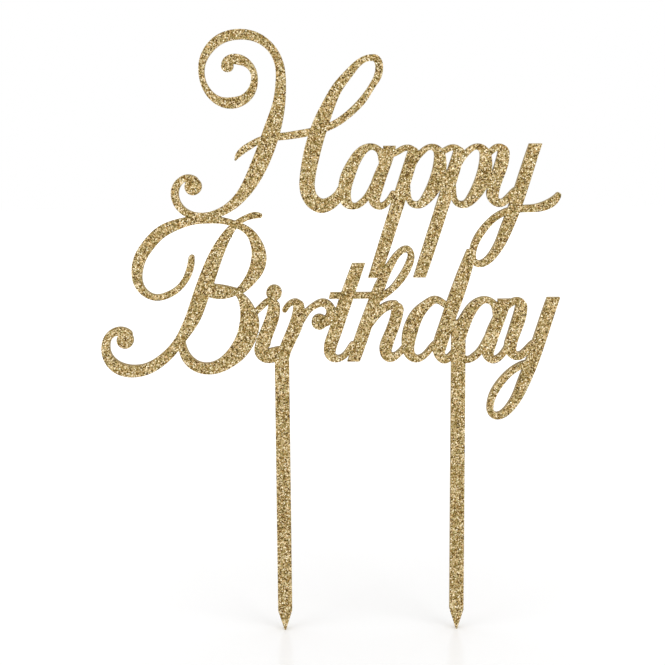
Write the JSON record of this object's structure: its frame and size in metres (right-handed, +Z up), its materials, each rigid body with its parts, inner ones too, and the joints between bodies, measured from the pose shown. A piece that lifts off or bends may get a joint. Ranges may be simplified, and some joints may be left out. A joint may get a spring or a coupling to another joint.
{
  "type": "cake topper",
  "caption": "Flat gold glitter cake topper: stacked lines of joined cursive greeting letters on slim pointed stakes that push into a cake.",
  "frame": {"origin": "midway between the tips of the two stakes, in the middle of the sheet's thickness", "axes": "+X along the writing, to the reader's right; +Z up, from the stakes' tips to the letters; the front faces -Y and the back +Y"},
  "size_m": [0.1503, 0.003, 0.2],
  "materials": {
    "gold_glitter": "pale gold glitter flakes in clear film, coarse and sparkling",
    "core_sheet": "laser-cut gold sheet with polished edges"
  },
  "bodies": {
    "root": {"left_stake_core": "core_sheet", "left_stake_front_glitter": "gold_glitter", "left_stake_back_glitter": "gold_glitter", "right_stake_core": "core_sheet", "right_stake_front_glitter": "gold_glitter", "right_stake_back_glitter": "gold_glitter", "happy_h_core": "core_sheet", "happy_h_front_glitter": "gold_glitter", "happy_h_back_glitter": "gold_glitter", "happy_a_core": "core_sheet", "happy_a_front_glitter": "gold_glitter", "happy_a_back_glitter": "gold_glitter", "happy_first_p_core": "core_sheet", "happy_first_p_front_glitter": "gold_glitter", "happy_first_p_back_glitter": "gold_glitter", "happy_second_p_core": "core_sheet", "happy_second_p_front_glitter": "gold_glitter", "happy_second_p_back_glitter": "gold_glitter", "happy_y_core": "core_sheet", "happy_y_front_glitter": "gold_glitter", "happy_y_back_glitter": "gold_glitter", "birthday_b_core": "core_sheet", "birthday_b_front_glitter": "gold_glitter", "birthday_b_back_glitter": "gold_glitter", "birthday_i_core": "core_sheet", "birthday_i_front_glitter": "gold_glitter", "birthday_i_back_glitter": "gold_glitter", "birthday_r_core": "core_sheet", "birthday_r_front_glitter": "gold_glitter", "birthday_r_back_glitter": "gold_glitter", "birthday_t_core": "core_sheet", "birthday_t_front_glitter": "gold_glitter", "birthday_t_back_glitter": "gold_glitter", "birthday_h_core": "core_sheet", "birthday_h_front_glitter": "gold_glitter", "birthday_h_back_glitter": "gold_glitter", "birthday_d_core": "core_sheet", "birthday_d_front_glitter": "gold_glitter", "birthday_d_back_glitter": "gold_glitter", "birthday_a_core": "core_sheet", "birthday_a_front_glitter": "gold_glitter", "birthday_a_back_glitter": "gold_glitter", "birthday_y_core": "core_sheet", "birthday_y_front_glitter": "gold_glitter", "birthday_y_back_glitter": "gold_glitter"}
  },
  "joints": []
}
